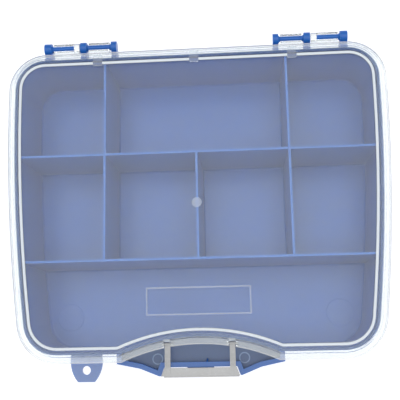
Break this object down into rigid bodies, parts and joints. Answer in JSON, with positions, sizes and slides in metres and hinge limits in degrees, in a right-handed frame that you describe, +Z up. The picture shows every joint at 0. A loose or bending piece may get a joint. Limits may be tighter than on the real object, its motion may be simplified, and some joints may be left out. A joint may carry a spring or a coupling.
{
  "type": "fishing tackle box",
  "caption": "Flat tackle box: a blue divided tray, a clear hinged lid with a raised stacking bead, and a clear latch over a front carrying grip.",
  "frame": {"origin": "middle of the tray's flat underside, halfway between the lid's straight front and back edges", "axes": "+X along the hinge line, +Y from the latch to the hinges, +Z up"},
  "size_m": [0.3026, 0.2711, 0.0655],
  "materials": {
    "tray_plastic": "glossy",
    "lid_plastic": "glossy",
    "latch_plastic": "glossy"
  },
  "bodies": {
    "tray": {"base_tray": "tray_plastic", "hang_tab": "tray_plastic"},
    "lid": {"lid": "lid_plastic"},
    "latch": {"front_latch": "latch_plastic"}
  },
  "joints": [
    {"name": "lid_hinge", "type": "hinge", "parent": "tray", "child": "lid", "pos_m": [0, 0.1292, 0.057], "axis": [-1, 0, 0], "range_deg": [0, 180]},
    {"name": "latch_pivot", "type": "hinge", "parent": "lid", "child": "latch", "pos_m": [0, -0.11067, 0.0578], "axis": [-1, 0, 0], "range_deg": [0, 90]}
  ]
}
